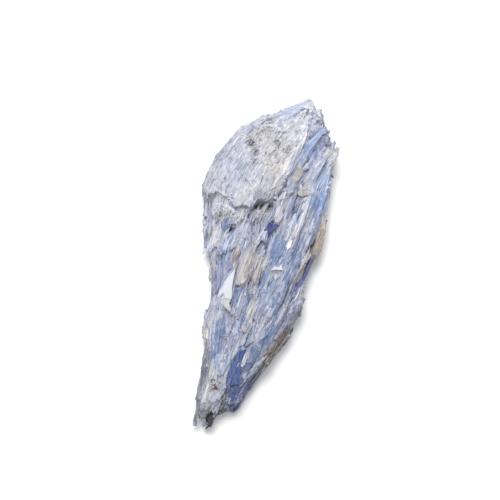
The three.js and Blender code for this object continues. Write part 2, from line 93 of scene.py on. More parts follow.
# Patches of colour on the upper side: shade, x, y, half width, half length, clockwise lean, strength
PATCHES = [
    # felted cap
    ("felt", -10, 30, 13, 17, 8, 9),
    ("felt", -14, 21, 9, 6, 0, 9),
    ("felt", -3, 45, 8, 9, 20, 7),
    ("light_blue", -14.6, 27, 5, 9, 12, 3),
    ("cream", -4, 37, 6, 5, 0, 7),
    ("beige", -7, 41, 6, 4, 20, 5),
    ("moss", -11.8, 38.6, 2.2, 1.8, 0, 13),
    ("moss", -3.2, 41.8, 2.6, 1.4, 0, 12),
    ("moss", -9, 34.6, 2, 3, 0, 10),
    ("moss", -4.5, 45, 4, 1.2, 0, 7),
    ("slate", -12.6, 30.6, 0.9, 2, 0, 7),
    ("white", 4.6, 45.6, 2.4, 6, 12, 14),
    ("white", -3, 48.6, 3.4, 2.4, 20, 8),
    ("cream", 0.4, 33, 2.6, 4.2, 0, 14),
    ("white", -4.6, 39.4, 1.6, 1.2, 0, 12),
    ("light_blue", -2.2, 53.6, 2.2, 3.4, 30, 16),
    ("mid_blue", -13.6, 44, 0.9, 3.2, 28, 12),
    ("mid_blue", -7, 49.6, 0.9, 2.6, 30, 14),
    ("mid_blue", -13.2, 28.6, 0.8, 3.6, 4, 12),
    ("light_blue", -16.4, 28.8, 0.9, 1.3, 0, 10),
    ("slate", -3.6, 25.4, 0.6, 3.2, 4, 12),
    ("grey_blue", -8.6, 29.6, 1, 2, 0, 10),
    ("lilac", -19.2, 37, 1, 5.5, 12, 12),
    ("grey_blue", -14, 30, 6, 9, 12, 9),
    ("felt", 5, 54, 5.4, 5.6, 0, 5),
    ("white", 4, 55, 5, 4, 0, 12),
    ("white", 2, 50, 3, 3, 0, 8),
    # head, right of the cap
    ("mid_blue", 8.4, 45, 1.8, 7.5, 16, 7),
    ("deep_blue", 11, 47, 0.9, 5, 20, 7),
    ("lilac", 12.4, 49, 1, 3.6, 26, 9),
    ("pale", 6.4, 56, 4, 2.2, 0, 9),
    ("grey_blue", 5, 52.4, 2.4, 2.4, 20, 16),
    ("indigo", 7.8, 52.6, 0.8, 1.1, 0, 60),
    ("indigo", 10.6, 53.5, 0.8, 1.5, -20, 60),
    ("light_blue", 5.6, 38, 1.4, 4.5, 4, 6),
    ("pale", 15.8, 40, 2.6, 4.4, 15, 8),
    ("beige", 17.8, 42.6, 1.6, 3.4, -20, 12),
    ("light_blue", 15, 35, 2.6, 4, 20, 7),
    ("cream", 14.2, 44, 1.6, 1.6, 0, 8),
    ("slate", 8.2, 38, 0.7, 4, 4, 12),
    ("beige", 7.1, 33.4, 1.1, 2.7, 4, 22),
    ("cream", 10.6, 28.4, 1.8, 1.5, -30, 26),
    ("mid_blue", 18.2, 28, 1.2, 8, 4, 9),
    ("mid_blue", 14.2, 27, 1, 2.8, 6, 9),
    # middle
    ("slate", 3.2, 27.6, 1.6, 2.8, 0, 6),
    ("lilac", 8.6, 22, 1.9, 4.8, 2, 4),
    ("pale", 5.2, 20.4, 1.7, 4.6, 4, 10),
    ("white", 5, 16.3, 1, 0.9, 0, 24),
    ("pale", 12.8, 22, 1.2, 5.4, 0, 12),
    ("cream", 12.2, 12.6, 1.2, 4, 0, 9),
    ("white", 10, 14, 0.4, 4.8, 0, 14),
    ("pale", 16.2, 16, 1.6, 10, 4, 8),
    ("mid_blue", 14, 11.2, 1.4, 2.4, 0, 9),
    ("mid_blue", 18, 18.4, 0.6, 6, 4, 10),
    ("tan", 21.3, 15, 1.9, 7, -2, 26),
    ("beige", 21.4, 21.4, 1.2, 3, 0, 14),
    ("bronze", 20.4, 20.8, 0.6, 0.8, 0, 16),
    ("slate", 19, 13.6, 0.7, 1.6, 0, 18),
    ("slate", 17.8, 10, 0.5, 6, 4, 16),
    ("beige", 18.9, 5, 0.9, 7, 10, 22),
    ("indigo", 20.2, 4, 0.5, 5.4, 10, 20),
    ("indigo", 18.8, -2.4, 0.6, 3.4, 12, 20),
    ("slate", 16.2, -1, 0.6, 7, 8, 12),
    ("indigo", 3.9, 12.6, 1.7, 2.4, 6, 40),
    ("light_blue", 2.2, 17.2, 1.3, 1.6, 0, 14),
    ("mid_blue", 8.4, 8, 2.2, 5, 0, 12),
    ("mid_blue", 2.9, 4.6, 1.2, 1.6, 0, 8),
    ("light_blue", 12.8, 4.6, 3, 4.6, 4, 12),
    ("light_blue", 8.4, -6.6, 2.6, 5, 2, 12),
    ("mid_blue", 13.4, -7, 2.6, 8, 8, 11),
    ("deep_blue", 12.6, -6.6, 1.2, 3, 6, 9),
    ("pale", 10.2, -3, 2.2, 1.6, 0, 8),
    ("grey_blue", 9, -13.4, 1.8, 4, 0, 9),
    ("beige", 0.4, -1.6, 2.6, 8, 2, 12),
    ("cream", 0.6, 1.6, 1.2, 4, 0, 8),
    ("beige", 4.4, -3, 1, 5, 2, 9),
    ("tan", -4, 0, 0.9, 2.4, 0, 14),
    ("cream", -13.8, 4.6, 2.4, 3.6, 6, 6),
    ("pale", -13.8, 5.4, 3, 5, 6, 12),
    ("cream", -13, 7.8, 2, 2, 0, 4),
    ("felt", -12.6, 13.8, 7, 3, 0, 12),
    ("moss", -7.6, 13, 2, 1.4, 10, 12),
    ("moss", -15, 11, 1.2, 2, 0, 10),
    ("lilac", -10.8, 9.4, 1.4, 2, 0, 16),
    ("lilac", -18.2, 10.6, 1.1, 3, 12, 14),
    ("light_blue", -9, 1.4, 2.2, 2.6, 10, 10),
    ("mid_blue", -9.4, -3, 1.6, 2.2, 0, 12),
    ("grey_blue", -3.2, 8.6, 1.2, 4, 4, 8),
    ("lilac", -7.4, -8.6, 1.8, 6, 4, 11),
    # The beige along the left lower edge is partly the stone's own colour and partly painted shade that
    # darkens that edge
    ("beige", -11.8, -8, 1.8, 6, 10, 12),
    ("mid_blue", 14.4, 8.4, 2.4, 6, 4, 15),
    ("grey_blue", -10.4, -7.6, 1, 3, 14, 8),
    ("mid_blue", -0.2, -13.4, 0.9, 3.6, 0, 14),
    ("mid_blue", 3.6, -13.6, 0.9, 4.4, 0, 12),
    ("cream", 6.4, -14.4, 1.1, 3.6, 0, 14),
    ("tan", 6.7, -16.8, 0.9, 1.4, 0, 16),
    # lower half
    ("lilac", 3, -22.6, 2.4, 3.6, 0, 10),
    ("mid_blue", -2, -27, 1.8, 7, 0, 13),
    ("cream", -6.8, -26, 1.2, 5, -4, 20),
    ("cream", -4, -33, 1.4, 1.8, 0, 9),
    ("pale", 10.4, -22.4, 2.4, 3.2, 8, 12),
    ("mid_blue", 14.2, -22, 1.2, 6, 10, 11),
    ("mid_blue", 12, -29, 1.7, 5, 8, 16),
    ("deep_blue", 8, -24.4, 0.8, 3, 8, 13),
    ("pale", 3, -35.6, 2, 4, 2, 14),
    ("grey_blue", 3, -28.4, 2, 3, 2, 9),
    ("deep_blue", 7.4, -36.4, 1.9, 7.6, 4, 22),
    ("mid_blue", 7.6, -44, 1.6, 2.6, 4, 14),
    ("cream", 9.7, -32.4, 0.8, 2.6, 0, 14),
    ("grey_blue", 11, -35.4, 1, 3, 6, 12),
    ("indigo", 11.9, -43, 2.2, 4.6, 10, 12),
    ("deep_blue", 9.8, -48, 1.6, 2.4, 10, 12),
    ("slate", 13.7, -37.4, 1.8, 1.7, 0, 18),
    ("bronze", 17.8, -25.4, 1.8, 8, 14, 22),
    ("tan", 18.2, -22, 0.8, 3, 14, 12),
    ("lilac", 18.2, -11.6, 2, 6, 10, 14),
    ("slate", 22.2, -16, 0.8, 6, 14, 20),
    ("rust", 17.1, -16.3, 0.7, 0.7, 0, 26),
    ("felt", 1, -46, 3.6, 7, 0, 13),
    ("cream", -2.4, -48, 1, 3.4, 0, 9),
    ("lilac", -3.6, -42, 0.9, 2.6, 0, 12),
    ("lilac", -2, -53, 0.9, 3, -6, 10),
    ("moss", 6.9, -48.8, 1.4, 1.6, 0, 26),
    ("moss", 1.2, -42.8, 1, 1, 0, 12),
    ("slate", 7.8, -52, 1.6, 1.4, 0, 12),
    ("dark", 4.4, -56.4, 1.9, 2.6, -8, 60),
]

# Places painted brighter or darker, partly the stone's own tone and partly painted light and shade, such as
# the lit right side of the head and the shaded lower right flank: x, y, half width, half length, clockwise
# lean, brightness
TONES_AND_PAINTED_LIGHT = [
    (-5.2, -40, 4.4, 12, -8, 0.44),
    (1, -43, 2.6, 3.4, 0, 0.8),
    (10.6, 54.6, 2, 4, -16, 0.68),
    (3, 33, 3, 4, 0, 1.25),
    (14, -45, 2.6, 5, 20, 0.76),
    (4.4, -19.6, 3, 4, 0, 0.84),
    (-1.4, 11.7, 3, 3, 0, 0.84),
    (18.6, -26, 2.4, 7, 14, 1.2),
    (0.8, -54.6, 6.4, 6.5, 0, 0.54),
    (5.2, -4.5, 3.4, 9, 4, 0.72),
    (1, 17.6, 6, 4.5, -24, 0.72),
    (22.2, -12.5, 3, 10, 14, 0.6),
    (8.6, 44.4, 3.6, 9, 18, 1.5),
    (-0.9, -59, 2.4, 3.6, 0, 0.55),
    (-5.3, -41.8, 2.4, 3.6, 0, 0.62),
    (6.3, 59, 3, 2.6, 0, 0.7),
    (6.5, -54.4, 1.8, 3, 0, 0.7),
    (0.2, 10.2, 2, 3, 0, 0.8),
    (11.2, -6.2, 2.4, 3.6, 0, 0.84),
    (1.4, -43, 2.2, 3.2, 0, 0.86),
    (16, 34, 4, 9, 10, 1.45),
    (16.4, 24, 2.6, 6, 0, 1.25),
    (-13, 15.4, 7, 4, 0, 1.25),
    (-4.5, -11, 3, 7, 0, 1.15),
    (20.4, 25, 2.4, 6, 0, 1.45),
    (4.4, 53, 4, 5, 0, 1.32),
    (-21.4, 36, 3, 7, 16, 0.74),
    (-24, 19, 3, 4, 0, 0.7),
    (-7.5, 41, 6, 4, 20, 0.86),
]

# Where dark specks crowd: x, y, half width, half length, clockwise lean, share
SPECKLED = [
    (-7.5, 39.5, 8, 6.5, 20, 1),
    (-1.5, 37, 5, 5, 0, 0.7),
    (-12, 13, 8, 4, 0, 0.8),
    (-14, 20.5, 8, 3, 0, 0.6),
    (-1, 19.5, 4, 1.6, -14, 0.9),
    (3.4, 30, 3, 3, 0, 0.6),
    (6.8, -48.8, 2.6, 2.6, 0, 0.9),
    (1.6, -43.4, 3, 3.4, 0, 0.7),
    (0.4, -2, 2.4, 7, 0, 0.4),
    (13, 44, 2.6, 3, 0, 0.5),
]

# The felted cap's even top: x, y, half width, half length, clockwise lean
CAP = [(-9, 31, 12, 12, 12), (-2, 44, 9, 9, 26), (-14, 24, 8, 6, 0), (-3, 27, 6, 6, 0), (4, 53, 6, 5, 10)]

# Hollows in the upper side: x, y, half width, half length, clockwise lean, depth
HOLLOWS = [
    (-1, 19.2, 3.4, 0.8, -14, 2.4),
    (-4, 17.4, 1.6, 0.5, -34, 1.2),
    (-9.6, 15.6, 3, 0.35, 14, 0.3),
    (-14, 18.2, 3.4, 0.3, -6, 0.2),
    (11, 22.2, 0.5, 4.4, 0, 2.2),
    (9.9, 26.2, 1.6, 0.7, 6, 2),
    (5.6, 24.4, 1.8, 0.5, 16, 1.8),
    (4.4, 28.2, 1.8, 0.5, 30, 1.2),
    (-8.6, 8.8, 2.2, 0.6, -18, 1.6),
    (-5, 14.4, 1, 0.6, 30, 1.3),
    (-1.6, 13.2, 0.5, 1.8, -10, 1.4),
    (2.9, 6.6, 1.9, 0.5, 34, 1.3),
    (4.6, 14.6, 1.8, 0.3, -6, 1.6),
    (-3.6, 1, 0.4, 2.4, 0, 1.2),
    (2.3, -7.6, 0.35, 3, 0, 1.3),
    (5.7, -3.4, 0.3, 4.6, 2, 1.1),
    (0.3, -21.4, 0.35, 2.4, -10, 1.3),
    (1.6, -19.3, 2.2, 0.28, 8, 0.9),
    (8.8, -19.4, 1.6, 0.28, -8, 0.9),
    (1.9, -27.4, 0.35, 2.6, -6, 0.9),
    (16.4, -7, 0.3, 8, 10, 1),
    (18.9, 8, 0.3, 8, 8, 1.2),
    (13.2, -36.6, 1.6, 0.4, -20, 1.4),
    (5, -36, 0.3, 5, 4, 0.9),
    (6.8, -48.6, 1.2, 0.8, -30, 1.4),
    (1.2, -42.8, 0.8, 0.7, 0, 0.8),
    (4, -54.4, 2.2, 0.9, -4, 1.8),
    (-11.9, 38.6, 1.3, 0.8, 30, 1.2),
    (-3.1, 41.3, 1.2, 0.7, 10, 1.1),
    (-9, 35.6, 0.7, 1.2, 0, 0.9),
    (-8.6, 32.8, 0.5, 1, 0, 0.8),
    (-5.6, 37, 0.8, 0.4, 40, 0.6),
    (-1, 35.2, 0.5, 0.4, 0, 0.6),
    (-6.6, 42, 0.6, 0.5, 0, 0.6),
    (-2.4, 45, 1.6, 0.4, -6, 0.6),
    (3.4, 42.2, 0.5, 0.5, 0, 0.5),
    (7.8, 52.6, 0.6, 0.9, 0, 0.9),
    (10.6, 53.5, 0.5, 1.2, -20, 0.9),
]

# Crystals that stand out: x, y, length, width, clockwise lean, roll, lift, shade
CRYSTALS = [
    (12.9, 20.6, 17, 1.9, 1, 4, 0.7, "pale"),
    (16.4, 21, 16, 1.6, 5, -6, 0.6, "mid_blue"),
    (10, 45, 10, 1.5, 20, 12, 0.6, "mid_blue"),
    (7.9, 44, 12, 1.5, 16, 4, 0.6, "light_blue"),
    (11.6, 42, 9, 1.3, 20, -8, 0.6, "light_blue"),
    (14.6, 36.6, 8, 2, 24, 6, 0.7, "light_blue"),
    (3.8, -2, 11, 1.5, 2, 8, 0.6, "beige"),
    (7, -4.6, 9, 1.6, 2, -8, 0.5, "mid_blue"),
    (9.7, -8.6, 8, 1.9, 2, 6, 0.5, "light_blue"),
    (14.6, -7.2, 10, 1.4, 9, 12, 0.4, "deep_blue"),
    (-9, 3, 6, 2.6, 4, -6, 0.6, "light_blue"),
    (2, -14.6, 8.8, 2, -2, 4, 0.8, "grey_blue"),
    (3.2, -23, 7, 2.8, 0, 2, 0.7, "grey_blue"),
    (14.8, -21, 10, 1.8, 10, 10, 0.6, "mid_blue"),
    (-2.2, -26, 13, 1.6, -8, -10, 0.5, "mid_blue"),
    (-3.6, -27, 8, 1.4, -9, -4, 0.7, "grey_blue"),
    (-6.7, -26, 8.6, 1.8, -12, -26, 0.4, "cream"),
    (18.4, -24, 13, 1.1, 13, 30, 0.5, "bronze"),
    (17.2, -27, 9, 0.9, 13, 20, 0.6, "tan"),
    (0, -47.4, 9, 2.6, -2, -8, 0.5, "felt"),
    (3.6, -47.6, 6, 2.2, 6, 6, 0.5, "pale"),
    (-7.4, 25.3, 8, 0.4, 125, 0, 1.1, "pale"),
]

# Single faces with an outline of their own: shade, lift, slope to the right, slope to the head, corners
FACETS = [
    ("pearl", 0.7, -0.1, 0.02, [
        (-3.5, -3.4), (-3, -7), (-2.6, -10), (-1.7, -12.5), (-1.6, -14), (-6.5, -14.6), (-6.1, -11.9),
        (-5.4, -8.3),
    ]),
    ("ash", 0.7, 0.04, 0.05, [
        (-6.5, -14.6), (-1.6, -14.1), (-1.9, -15.4), (-0.7, -16.9), (-0.5, -18.3), (-2.3, -17.4),
        (-4.4, -16.5),
    ]),
    # The white chip by 11, 2.4 is partly its own pale colour and partly a painted highlight where it
    # catches the light
    ("white", 0.7, 0, 0.08, [
        (11, 2.4), (12, 0.9), (9.8, 0.3), (8.1, -0.4), (8.9, 1.2), (10.3, 1.5),
    ]),
    ("pale", 0.45, 0, -0.06, [
        (8.2, -0.5), (12.3, 0.8), (11.8, -1.4), (10.6, -3.1), (9.1, -2),
    ]),
    ("indigo", -0.1, 0.28, 0.1, [
        (2.4, 14.6), (5.7, 15.1), (5.5, 13.6), (3.9, 11.8), (3.7, 9.9), (2.1, 10.1), (1.7, 12),
    ]),
    ("pale", 1, 0.05, -0.05, [
        (3.6, 18.5), (5.2, 20.4), (6.6, 18.6), (6, 16.6), (5.1, 15.4), (4, 15.9),
    ]),
    ("beige", 0.7, 0.1, -0.08, [
        (6.6, 36.6), (8.2, 35.6), (8.3, 33.4), (7.2, 30.7), (5.9, 29.9), (5.4, 31.1), (5.7, 33.9),
    ]),
    ("cream", 1, 0, 0.1, [
        (8.5, 29.6), (10.3, 29.7), (12.2, 29), (12.3, 27.9), (10.8, 26.7), (8.8, 26.7), (9, 28.1),
    ]),
    ("light_blue", 0.5, 0.05, 0, [
        (-0.8, -33.4), (4, -31.4), (4.6, -33.9), (4, -36.8), (3.5, -39.7), (1.8, -38.5), (0.2, -37.6),
    ]),
    ("deep_blue", -0.1, 0.1, 0, [
        (6.6, -29.6), (8.4, -28.6), (9.3, -32.4), (9, -37), (10.7, -38.3), (9.5, -40.7), (6.4, -42.4),
        (5, -40.1), (5.1, -35.6), (5.5, -31.8),
    ]),
    ("pale", 0.5, 0.1, -0.05, [
        (8.7, -29.4), (9.5, -30.1), (9.7, -33.6), (9.2, -34.9), (8.4, -34.5), (8.3, -32.7),
    ]),
    ("mid_blue", 0.3, -0.1, 0, [
        (9.6, -26.4), (12.3, -24.2), (13.4, -27), (12, -32.4), (11.5, -35.7), (10.6, -35.1), (10.4, -30.3),
    ]),
    ("grey_blue", 0.3, -0.05, 0, [
        (8.4, -20.5), (12.4, -19.7), (14, -21.4), (12, -24.1), (10, -25.4), (7.8, -27.9), (7.7, -26.2),
        (8.7, -23.1),
    ]),
    ("indigo", 0.1, -0.15, 0, [
        (9.2, -40.5), (12.8, -37.6), (13.3, -40.6), (11.6, -45.2), (9.4, -46.8), (8.1, -45.4),
    ]),
    ("mid_blue", 0.3, -0.06, 0.02, [
        (5.7, 12), (8.6, 12.4), (10.2, 10.7), (10, 5.7), (8.5, 3.4), (6.5, 2.8), (5.9, 5.7), (6.2, 9),
    ]),
    ("pale", 0.6, -0.05, 0, [
        (8.9, 14.6), (10.2, 16.1), (10.8, 14.1), (10.2, 10.7), (9.1, 10.8), (9.5, 12.7),
    ]),
    ("white", 0.5, -0.05, 0, [
        (11.2, 11), (11.9, 11.7), (12, 9.1), (11.1, 7.8), (10.8, 9.5),
    ]),
    ("ash", -0.1, -0.04, 0, [
        (-2.5, 2.5), (0.2, 6.6), (1.2, 6.4), (0.3, 0.7), (-0.1, -2.1), (-0.3, -8.5), (-1.9, -8.5),
        (-2.7, -3.8),
    ]),
    ("mid_blue", 0.3, 0.1, 0.1, [
        (-13.2, 10.3), (-10.7, 12.5), (-9.4, 9.8), (-10.7, 7.1), (-12.4, 7.9),
    ]),
    ("lilac", 0.4, 0.1, 0, [
        (-6.4, -1.4), (-5, -3.7), (-6.3, -8.2), (-7.7, -14.9), (-8.7, -13.9), (-8.3, -7.5), (-7.7, -2.3),
    ]),
    ("dark", 0.2, 0.1, 0, [
        (3, -53.6), (4.8, -53.6), (5.6, -56.4), (5.4, -58), (4.7, -58.4), (3.8, -56.6),
    ]),
]

# Dodecahedral garnets: x, y, radius
GARNETS = [(2.5, -44.3, 1.15), (1.5, -41.9, 0.8), (18.3, 36.8, 0.7), (13, 46, 0.6)]

# Places where small mica flakes catch the light: x, y, spread, number
GLINTS = [
    (-9, 6, 0.8, 6),
    (-6.5, -17.2, 0.5, 5),
    (19, -10.2, 0.7, 7),
    (10.6, 0.6, 1.4, 6),
    (12, -14, 2.4, 5),
    (2, -43, 1.6, 5),
    (4.6, 16.4, 1, 4),
    (16.6, 34, 1, 3),
    (0, 20, 16, 24),
    (6, -20, 9, 18),
]

# Patches of loose matrix grains: x, y, half width, half length, number
CRUMBS = [
    (-6.5, 38.5, 9, 8, 420),
    (-12, 14, 7.5, 3.2, 170),
    (2.2, -43.6, 3, 3.4, 70),
    (6.8, -49, 1.8, 2, 30),
    (-1, 19, 4, 1.4, 50),
    (20.8, 18, 1.5, 6.5, 90),
]

# Colouring: weight of a patch against the ground, share of a crystal's own draw, spread of brightness
PATCH_WEIGHT = 1.4
OWN_COLOUR = 0.64
DULLEST, CHANGE = 0.7, 0.34
WHITEST = 0.86
# Cold colour that the painted shade in clefts and hollows darkens towards
CLEFT_SHADE_TINT = (0.2, 0.22, 0.32)

# The body: size of its small faces, rounds of averaging, depth of the felt, band that rests on the table
VOXEL = 0.4
NORMAL_ROUNDS = 24
CAP_ROUNDS = 160
CAP_FELT = 0.3
REST_BAND = 0.25

# Crystals carved in the body, coarse to fine: size across, along and up, step, slope, least turn
BODY_CRYSTALS = [
    ((3.4, 17, 3.4), 0.85, 0.5, -9),
    ((1.7, 8.5, 1.7), 0.45, 0.35, -0.12),
    ((0.85, 4, 0.85), 0.22, 0.15, 0.2),
]
GRIT_SIZE = (0.75, 1.3, 0.75)

# The coat: places tried, lowest place, and how well a blade has to lie along the grain and face outwards
COAT_PLACES = 9000
LOWEST_BLADE = 0.5
ALONG_GRAIN, FACING_OUT = 0.9, 0.85
# Upward part of the normal from which a place belongs to the upper side, and below which to the underside
UPPER_SIDE, UNDERSIDE = 0.3, -0.15
CRYSTAL_THICK = 1.3
SLAB_THICK = 1.3
# Steepest edge, in degrees, that the body shows as a smooth one
SMOOTH_BELOW = 38

# Five broken blades: width of the foot, width of the head, lean of the break, step at the foot
BLADE_FORMS = [
    (0.8, 0.7, 0.25, 0.1),
    (1, 0.5, -0.4, -0.12),
    (0.65, 0.9, 0.5, 0.05),
    (0.9, 0.6, -0.15, 0.18),
    (0.75, 0.4, 0.7, -0.05),
]
# Three crumbs: how flat, and how steep the third cut is
CRUMB_FORMS = [(0.7, 0.2), (0.5, 0.5), (0.9, -0.1)]

# Shades of the single faces that no blade lies on
CLEAN_FACES = ("white", "pearl", "ash", "cream")


def linear(shade):
    """A daylight colour as linear light."""
    c = np.array(shade) / 255
    return np.where(c <= 0.04045, c / 12.92, ((c + 0.055) / 1.055) ** 2.4)


# A faint pink cast over every shade: a little less green and blue
CAST = (1.0, 0.97, 0.99)
PAINTS = np.array([linear(SHADES[name]) for name in NAMES]) * CAST
PAINT = dict(zip(NAMES, PAINTS))


def smoothstep(low, high, value):
    t = np.clip((value - low) / (high - low), 0, 1)
    return t * t * (3 - 2 * t)


# The grain and the colours along it


def grain_line(x, y):
    """Which line of the grain a point lies on: the lines close up to the tip and bend over in the head."""
    right = 1 - 0.62 * np.clip((10 - y) / 56, 0, 1) ** 1.1
    left = 1 - 0.45 * smoothstep(5, 45, -y)
    t = np.clip((y - 14) / 40, 0, 1)
    bend = 20 * (t**3 - t**4 / 2) + 0.5 * np.clip(y - 54, 0, None)
    return 4 + (x - 4) / np.where(x > 4, right, left) - 0.03 * y - bend


def grain_lean(x, y):
    """Clockwise lean of the grain from +Y at one point, in radians."""
    x, y = np.array([x]), np.array([y])
    dy = grain_line(x, y + 0.5) - grain_line(x, y - 0.5)
    dx = grain_line(x + 0.5, y) - grain_line(x - 0.5, y)
    return float(np.arctan2(-dy, dx)[0])


def oval(x, y, cx, cy, half_width, half_length, lean):
    """1 inside an oval along a leaning axis, 0 outside it, with a short slope between."""
    a = math.radians(lean)
    dx, dy = x - cx, y - cy
    across = dx * math.cos(a) - dy * math.sin(a)
    along = dx * math.sin(a) + dy * math.cos(a)
    return 1 - smoothstep(0.6, 1.25, np.sqrt((across / half_width) ** 2 + (along / half_length) ** 2))


def scatter(cells, seed):
    """Random numbers 0 to 1 that belong to whole-number cells, four to a cell."""
    c = cells.astype(np.int64)
    h = (c[..., 0] * 73856093) ^ (c[..., 1] * 19349663) ^ (c[..., 2] * 83492791) ^ (seed * 2654435761)
    out = []
    for step in range(4):
        h = (h ^ (h >> 13)) * 1274126177 + step * 97
        h &= 0xFFFFFFFF
        out.append(((h ^ (h >> 16)) & 0xFFFF) / 65535)
    return np.stack(out, axis=-1)


def cloud(points, size, seed):
    """Smooth random values from -1 to 1, four for each point."""
    scaled = points / size
    home = np.floor(scaled)
    part = scaled - home
    part = part * part * (3 - 2 * part)
    total = np.zeros((len(points), 4))
    for corner in np.ndindex(2, 2, 2):
        weight = np.prod(np.where(np.array(corner) == 1, part, 1 - part), axis=1)
        total += weight[:, None] * scatter(home + corner, seed)
    return total * 2 - 1


def crystals_through(points, size, seed):
    """The long cell each point lies in: its middle, its random numbers and how near its edge is."""
    scaled = points / size
    home = np.floor(scaled)
    best = np.full(len(points), 9.0)
    second = np.full(len(points), 9.0)
    middle = np.zeros_like(points)
    own = np.zeros((len(points), 4))
    for step in np.ndindex(3, 3, 3):
        cell = home + np.array(step) - 1
        chance = scatter(cell, seed)
        far = np.sqrt(((scaled - cell - chance[:, :3]) ** 2).sum(axis=1))
        nearer = far < best
        second = np.where(nearer, best, np.minimum(second, far))
        middle[nearer] = (cell + chance[:, :3])[nearer]
        own[nearer] = scatter(cell + 7, seed)[nearer]
        best = np.where(nearer, far, best)
    return middle * size, own, second - best


def stone_paint(x, y, chance, low=False):
    """Colour of a crystal at x, y, with painted light and shade from the tones unless low. chance gives it
    its own draw and brightness.
    """
    weights = np.tile([GROUND.get(name, 0.0) for name in NAMES], (len(x), 1))
    if not low:
        for shade, *place, strength in PATCHES:
            weights[:, NAMES.index(shade)] += PATCH_WEIGHT * strength * oval(x, y, *place)
    weights = weights / weights.sum(axis=1, keepdims=True)
    drawn = (np.cumsum(weights, axis=1) < chance[:, :1]).sum(axis=1).clip(0, len(NAMES) - 1)
    mean = weights @ PAINTS
    paint = PAINTS[drawn] * OWN_COLOUR + mean * (1 - OWN_COLOUR)
    if not low:
        # The tones lay painted light and shade over the crystals' own colour
        for *place, tone in TONES_AND_PAINTED_LIGHT:
            paint = paint * (1 + (tone - 1) * oval(x, y, *place)[:, None])
    return (paint * (DULLEST + CHANGE * chance[:, 1:2])).clip(0, WHITEST)


def specks_at(x, y, upper):
    """How many dark specks there are at x, y."""
    share = np.full(len(x), 0.25)
    for *place, most in SPECKLED:
        share = np.maximum(share, most * oval(x, y, *place) * upper)
    return share


def matrix_share(x, y):
    """How much felted matrix covers the blades at x, y."""
    share = np.zeros(len(x))
    for shade, *place, _ in PATCHES:
        if shade in ("felt", "moss"):
            share = np.maximum(share, oval(x, y, *place))
    for shade, *place, strength in PATCHES:
        if strength > 12 and shade.endswith("blue"):
            share = np.minimum(share, 1 - oval(x, y, *place))
    return share


# Modelling one by one and in piles


def deselect():
    if bpy.context.object and bpy.context.object.mode != "OBJECT":
        bpy.ops.object.mode_set(mode="OBJECT")
    bpy.ops.object.select_all(action="DESELECT")


def activate(obj):
    deselect()
    obj.select_set(True)
    bpy.context.view_layer.objects.active = obj


def edit(obj):
    activate(obj)
    bpy.ops.object.mode_set(mode="EDIT")
    bpy.ops.mesh.select_all(action="DESELECT")


def pick_faces(obj, wanted):
    """Selects the faces whose normal is wanted, in edit mode."""
    bpy.ops.mesh.select_all(action="DESELECT")
    bpy.ops.mesh.select_mode(type="FACE")
    bpy.ops.object.mode_set(mode="OBJECT")
    for face in obj.data.polygons:
        face.select = bool(wanted(face.normal))
    bpy.ops.object.mode_set(mode="EDIT")


def grow(step, size):
    """Extrudes the selected faces by a step and resizes them, in edit mode."""
    bpy.ops.mesh.extrude_region_move(TRANSFORM_OT_translate={"value": step})
    bpy.ops.transform.resize(value=size)


def cut(spot, normal):
    """Cuts away what lies beyond a plane and closes the cut, in edit mode."""
    bpy.ops.mesh.select_all(action="SELECT")
    bpy.ops.mesh.bisect(plane_co=spot, plane_no=normal, use_fill=True, clear_outer=True)


def face_outwards():
    bpy.ops.mesh.select_all(action="SELECT")
    bpy.ops.mesh.normals_make_consistent(inside=False)


def apply(obj, kind, **settings):
    """Adds a modifier and applies it."""
    activate(obj)
    modifier = obj.modifiers.new(kind.lower(), kind)
    for name, value in settings.items():
        setattr(modifier, name, value)
    bpy.ops.object.modifier_apply(modifier=modifier.name)


def pattern(obj, unit=True):
    """Takes a finished model off the scene and gives its points and faces, one unit long if asked."""
    deselect()
    points = np.array([v.co for v in obj.data.vertices])
    if unit:
        points[:, 1] = (points[:, 1] - points[:, 1].min()) / np.ptp(points[:, 1]) - 0.5
    faces = [list(p.vertices) for p in obj.data.polygons]
    mesh = obj.data
    bpy.data.objects.remove(obj)
    bpy.data.meshes.remove(mesh)
    return points, faces


def blade_pattern(foot, head, chip, step):
    """A flat crystal one unit long, wide and thick: chamfered, narrow at the head, broken at the foot."""
    deselect()
    bpy.ops.mesh.primitive_cube_add(size=1)
    blade = bpy.context.object
    edit(blade)
    pick_faces(blade, lambda normal: normal.z > 0.9)
    bpy.ops.transform.resize(value=(0.74, 0.98, 1))
    pick_faces(blade, lambda normal: normal.y > 0.9)
    bpy.ops.transform.resize(value=(head, 1, 0.7))
    grow((0.06, 0.12, -0.18), (0.45, 1, 0.4))
    pick_faces(blade, lambda normal: normal.y < -0.9)
    bpy.ops.transform.resize(value=(foot, 1, 1))
    grow((step, -0.1, -0.16), (0.6, 1, 0.55))
    cut((0, -0.5, 0.1), (chip, -1, 0.5))
    face_outwards()
    return pattern(blade)


def grain_pattern(squash, turn):
    """An angular crumb of matrix, about one unit across."""
    deselect()
    bpy.ops.mesh.primitive_ico_sphere_add(subdivisions=1, radius=0.5)
    crumb = bpy.context.object
    edit(crumb)
    bpy.ops.mesh.select_all(action="SELECT")
    bpy.ops.transform.resize(value=(1, 0.8 + squash, squash))
    for normal in ((0.8, 0.3, 0.5), (-0.5, 0.7, 0.4), (0.1, -0.9, turn)):
        cut(tuple(0.3 * n for n in normal), normal)
    return pattern(crumb)


def flake_pattern():
    """A six-sided mica flake, one unit across and thin."""
    deselect()
    bpy.ops.mesh.primitive_cylinder_add(vertices=6, radius=0.5, depth=0.16)
    flake = bpy.context.object
    edit(flake)
    pick_faces(flake, lambda normal: normal.z > 0.9)
    bpy.ops.mesh.inset(thickness=0.08)
    bpy.ops.transform.translate(value=(0, 0, 0.03))
    return pattern(flake)


